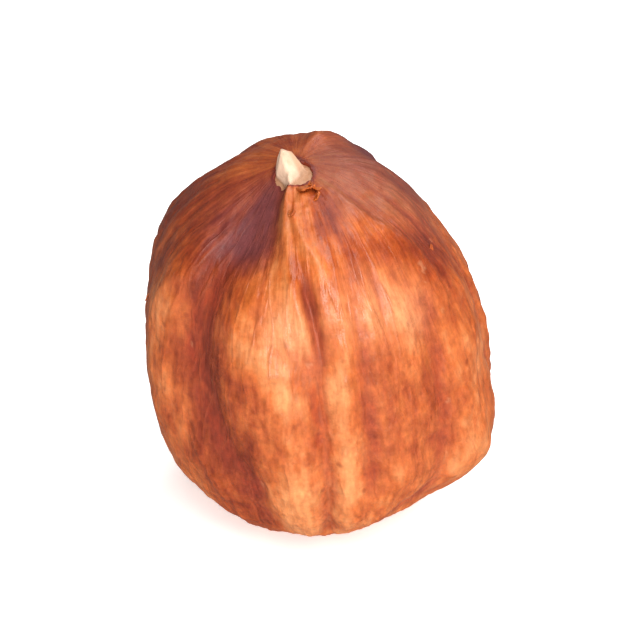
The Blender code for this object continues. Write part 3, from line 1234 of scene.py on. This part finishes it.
@dataclass
class LooseSkin:
    """Scraps of skin that curl up from the surface, each rooted in it."""

    form: KernelForm
    skin: KernelSkin
    strewn: int = 7
    strewn_seed: int = 23
    steps: int = 10
    lanes: int = 7
    thickness: float = 0.045
    root_depth: float = 0.09
    # The radius at which a scrap's millimetres are turned to degrees
    girth: float = 8.0
    tone: float = 0.15
    spaced: float = 0.6

    def build(self) -> bpy.types.Object:
        """Builds and dresses the scraps, as one piece.

        Returns:
            The piece.
        """
        points: list[np.ndarray] = []
        rings: list[np.ndarray] = []
        faces: list[tuple[int, ...]] = []
        for number, scrap in enumerate(SCRAPS + self.strew()):
            polar, azimuth, radius = self.flake(scrap, number)
            start = len(points) * 2 * self.steps * self.lanes
            faces.extend(tuple(start + corner for corner in face) for face in self.faces())
            points.append(self.form.place_m(radius, polar, azimuth).reshape(-1, 3))
            rings.append(self.skin.relief.ring(polar, azimuth).reshape(-1, 3))
        scraps = add_mesh("loose_skin_scraps", np.vstack(points), faces, self.skin.material)
        add_values(scraps, "ring", np.vstack(rings))
        for name, value in (("tone", self.tone), ("spaced", self.spaced)):
            add_values(scraps, name, np.full(len(scraps.data.vertices), value))
        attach(scraps, "root")
        return scraps

    def strew(self) -> tuple[Scrap, ...]:
        """Draws a few small scraps all round.

        Returns:
            The scraps.
        """
        draw = np.random.default_rng(self.strewn_seed)
        return tuple(
            Scrap(
                polar=math.degrees(math.acos(draw.uniform(-0.75, 0.9))),
                azimuth=draw.uniform(70, 290),
                turn=draw.uniform(-180, 180),
                length=draw.uniform(0.25, 0.5),
                width=draw.uniform(0.14, 0.26),
                curl=draw.uniform(12, 28),
            )
            for _ in range(self.strewn)
        )

    def flake(self, scrap: Scrap, seed: int) -> tuple[np.ndarray, np.ndarray, np.ndarray]:
        """Shapes one scrap, as an under and an upper sheet that roll up from the skin.

        Args:
            scrap: The scrap.
            seed: Which of the endless ragged ends it has.

        Returns:
            Polar angles, azimuths and radii, by sheet, step and lane.
        """
        ends = np.random.default_rng(seed).uniform(0.7, 1.1, self.lanes)
        steps, lanes = np.linspace(0, 1, self.steps), np.linspace(-1, 1, self.lanes)
        sheet, along, across = np.meshgrid((0.0, self.thickness), steps, lanes, indexing="ij")
        bend = math.radians(scrap.curl)
        roll = scrap.length / bend
        rolled = bend * along * ends
        ahead = (roll - sheet) * np.sin(rolled)
        lift = roll - (roll - sheet) * np.cos(rolled) - self.root_depth * (1 - along) ** 2
        side = 0.5 * scrap.width * across * (1 - 0.5 * along**2)
        turn = math.radians(scrap.turn)
        down = ahead * math.cos(turn) - side * math.sin(turn)
        right = ahead * math.sin(turn) + side * math.cos(turn)
        polar = scrap.polar + np.degrees(down / self.girth)
        azimuth = scrap.azimuth + np.degrees(right / (self.girth * math.sin(math.radians(scrap.polar))))
        return polar, azimuth, self.skin.radius_at(polar, azimuth) + lift

    def faces(self) -> list[tuple[int, ...]]:
        """Lists one scrap's faces: both sheets and the strips that close them.

        Returns:
            The faces.
        """
        steps, lanes = self.steps, self.lanes
        upper = steps * lanes
        faces: list[tuple[int, ...]] = []
        for step in range(steps - 1):
            for lane in range(lanes - 1):
                here = step * lanes + lane
                under = (here, here + 1, here + lanes + 1, here + lanes)
                faces.append(under)
                faces.append(tuple(upper + corner for corner in reversed(under)))
        rim = [step * lanes for step in range(steps)]
        rim += [(steps - 1) * lanes + lane for lane in range(1, lanes)]
        rim += [step * lanes + lanes - 1 for step in range(steps - 2, -1, -1)]
        rim += list(range(lanes - 2, 0, -1))
        for here, there in zip(rim, rim[1:] + rim[:1]):
            faces.append((here, there, there + upper, here + upper))
        return faces


@dataclass(frozen=True)
class SoftBox:
    """A square soft box that faces the kernel: its place and side in metres, its watts, and its sRGB tint."""

    name: str
    place: tuple[float, float, float]
    side: float
    power: float
    tint: str


@dataclass
class Studio:
    """The pale floor, the soft lights and the camera."""

    elevation: float = 38.0
    focal_length: float = 400.0
    subject_share: float = 0.72
    # How much of the kernel's depth counts towards its height in the picture
    depth_share: float = 0.55
    clip_start_m: float = 0.02
    floor_half_m: float = 1.5
    aim_m: tuple[float, float, float] = (0.0, 0.0, 0.008)
    soft_boxes: tuple[SoftBox, ...] = (
        SoftBox("key_softbox", (0.08, -0.26, 0.40), 0.34, 2.6, "#fffdfb"),
        SoftBox("back_softbox", (0.18, 0.22, 0.34), 0.30, 1.4, "#fbfcff"),
        SoftBox("front_softbox", (0.10, -0.42, 0.09), 0.20, 1.3, "#fffaf6"),
    )
    sky_tint: str = "#fbfbff"
    sky_strength: float = 0.14

    def build(self) -> None:
        """Builds the floor, the lights and the camera."""
        self.add_floor()
        self.add_lights()
        self.add_camera()

    def add_floor(self) -> None:
        """Lays the white sheet, far past what any view shows."""
        half = self.floor_half_m
        corners = np.array([(-half, -half, 0.0), (half, -half, 0.0), (half, half, 0.0), (-half, half, 0.0)])
        floor = add_mesh("floor", corners, [(0, 1, 2, 3)], OpalAcrylic().material())
        # A floor this bright would veil the skin's brown in the gloss, so the gloss leaves it out
        floor.visible_glossy = False
        floor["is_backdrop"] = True

    def add_lights(self) -> None:
        """Hangs the soft boxes under a white sky."""
        for box in self.soft_boxes:
            light = bpy.data.lights.new(box.name, "AREA")
            light.size = box.side
            light.energy = box.power
            light.color = linear(box.tint)[:3]
            lamp = bpy.data.objects.new(box.name, light)
            lamp.location = box.place
            lamp.rotation_euler = (Vector(self.aim_m) - Vector(box.place)).to_track_quat("-Z", "Y").to_euler()
            bpy.context.scene.collection.objects.link(lamp)
        world = bpy.data.worlds.new("white_cove")
        world.use_nodes = True
        sky = world.node_tree.nodes["Background"]
        sky.inputs["Color"].default_value = linear(self.sky_tint)
        sky.inputs["Strength"].default_value = self.sky_strength
        bpy.context.scene.world = world
        bpy.context.scene.view_settings.view_transform = "Standard"
        bpy.context.scene.view_settings.look = "None"

    def add_camera(self) -> None:
        """Sets the camera at the photograph's angle, with the kernel large in the frame."""
        low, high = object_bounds()
        middle = (Vector(low) + Vector(high)) / 2
        height = high[2] - low[2]
        depth = high[1] - low[1]
        tilt = math.radians(self.elevation)
        seen = height * math.cos(tilt) + depth * math.sin(tilt) * self.depth_share
        lens = bpy.data.cameras.new("camera")
        lens.lens = self.focal_length
        lens.clip_start = self.clip_start_m
        distance = seen / self.subject_share * self.focal_length / lens.sensor_width
        camera = bpy.data.objects.new("camera", lens)
        back = Vector((0.0, -math.cos(tilt), math.sin(tilt)))
        camera.location = middle + back * distance
        camera.rotation_euler = (-back).to_track_quat("-Z", "Y").to_euler()
        bpy.context.scene.collection.objects.link(camera)
        bpy.context.scene.camera = camera


def main() -> None:
    """Builds every piece and the studio, and logs how many faces each piece has."""
    logging.basicConfig(level=logging.INFO, format="%(name)s: %(message)s")
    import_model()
    form = KernelForm(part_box("kernel"))
    skin = KernelSkin(form, SkinRelief(form), DrySeedSkin().material())
    LOG.info("skin: %d faces", len(skin.build().data.polygons))
    LOG.info("bare tip: %d faces", len(BareTip(form, skin).build().data.polygons))
    LOG.info("loose skin: %d faces", len(LooseSkin(form, skin).build().data.polygons))
    Studio().build()
    LOG.info("studio is set")


if __name__ == "__main__":
    main()
